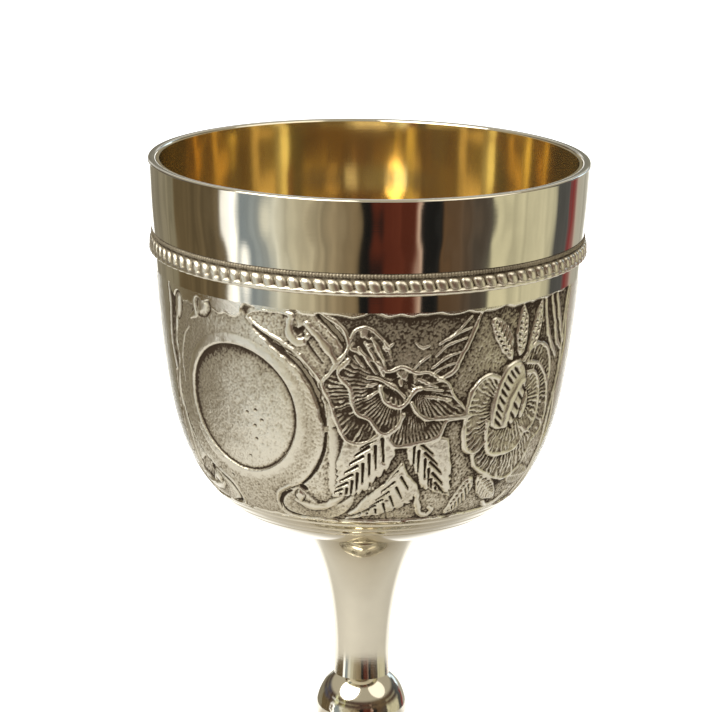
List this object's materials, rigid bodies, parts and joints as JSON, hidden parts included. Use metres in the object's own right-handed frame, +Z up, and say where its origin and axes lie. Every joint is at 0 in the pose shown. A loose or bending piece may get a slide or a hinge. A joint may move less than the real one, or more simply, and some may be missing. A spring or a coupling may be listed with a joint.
{
  "type": "communion chalice",
  "caption": "Stemmed communion cup with a gilt bowl, relief-cast silvered shell, beaded wires, ball knop and domed foot.",
  "frame": {"origin": "centre of the foot's resting face, on the chalice's axis", "axes": "+Z up along the chalice's axis; the front medallion of the cup faces -Y"},
  "size_m": [0.09, 0.09, 0.1796],
  "materials": {
    "silvered_casting": "cast brass, silver plated, polished plain bands and darkened matt relief",
    "silvered_turning": "turned brass, silver plated, mirror polish",
    "silvered_wire": "beaded brass wire, silver plated, darkened between the beads",
    "gilt": "spun brass, gilded, bright satin",
    "plain_brass": "turned, unpolished",
    "zinc_steel": "zinc plated"
  },
  "bodies": {
    "root": {"cup_shell": "silvered_casting", "medallion_frames": "silvered_casting", "cup_liner": "gilt", "cup_bead_ring": "silvered_wire", "liner_stud": "plain_brass", "upper_stem": "silvered_turning", "stem_coupling": "plain_brass", "knop": "silvered_turning", "lower_stem": "silvered_turning", "tie_rod": "zinc_steel", "foot": "silvered_casting", "foot_bead_ring": "silvered_wire", "foot_washer": "zinc_steel", "spring_washer": "zinc_steel", "foot_nut": "zinc_steel"}
  },
  "joints": []
}
